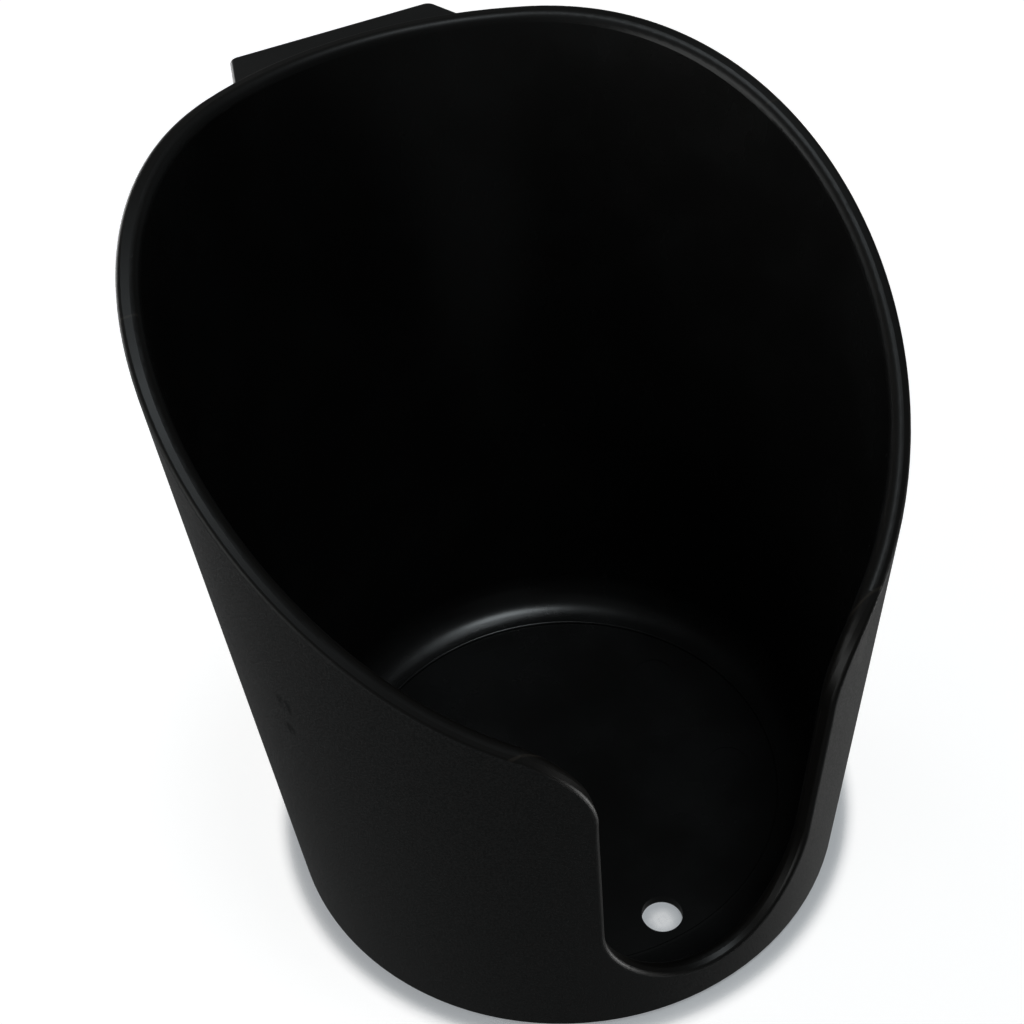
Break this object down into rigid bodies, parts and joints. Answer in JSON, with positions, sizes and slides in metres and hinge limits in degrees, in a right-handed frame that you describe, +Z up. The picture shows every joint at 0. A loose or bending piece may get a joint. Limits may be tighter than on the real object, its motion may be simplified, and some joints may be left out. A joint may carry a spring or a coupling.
{
  "type": "desk clamp cup holder",
  "caption": "Tapered open-front cup holder with a mug-handle slot and drain hole, hung on a screw clamp that grips the edge of a desk.",
  "frame": {"origin": "centre of the upper jaw pad's lower face, which rests on the desk top", "axes": "+Z up, away from the desk top; +Y away from the cup, in over the desk; -Y towards the cup and its mug slot; X across, along the desk's edge"},
  "size_m": [0.0978, 0.141, 0.1114],
  "materials": {
    "moulded_black": "fine spark-eroded matt outside, smoother satin inside",
    "frame_coat": "black powder coat, fine texture",
    "screw_steel": "bright zinc plate",
    "spring_steel": "dark phosphated spring steel",
    "foot_zinc": "turned and zinc plated",
    "bronze": "machined, dry",
    "pad_rubber": "matt",
    "knob_plastic": "satin"
  },
  "bodies": {
    "frame": {"clamp_frame": "frame_coat", "hanger_plate": "frame_coat", "hanger_screws": "screw_steel", "upper_jaw_pad": "pad_rubber", "edge_pad": "pad_rubber", "cup_bumper": "pad_rubber", "bumper_screw": "screw_steel", "bumper_nut": "screw_steel", "threaded_bush": "bronze", "bush_retaining_ring": "spring_steel"},
    "cup": {"cup_shell": "moulded_black"},
    "foot": {"pressure_plate": "foot_zinc", "pressure_pad": "pad_rubber", "thrust_washer": "screw_steel"},
    "screw": {"clamp_screw": "screw_steel", "retaining_clip": "spring_steel", "knob": "knob_plastic", "knob_insert": "bronze", "knob_pin": "spring_steel", "knob_cap": "knob_plastic"}
  },
  "joints": [
    {"name": "cup_lift", "type": "slide", "parent": "frame", "child": "cup", "axis": [0, 0, 1], "range_m": [0, 0.022]},
    {"name": "foot_travel", "type": "slide", "parent": "frame", "child": "foot", "axis": [0, 0, 1], "range_m": [0, 0.022]},
    {"name": "screw_turn", "type": "hinge", "parent": "foot", "child": "screw", "pos_m": [0, 0, -0.0565], "axis": [0, 0, 1], "range_deg": [0, 3960]}
  ],
  "couplings": [
    {"joint": "screw_turn", "follows": "foot_travel", "rad_per_m": 3141.6}
  ]
}
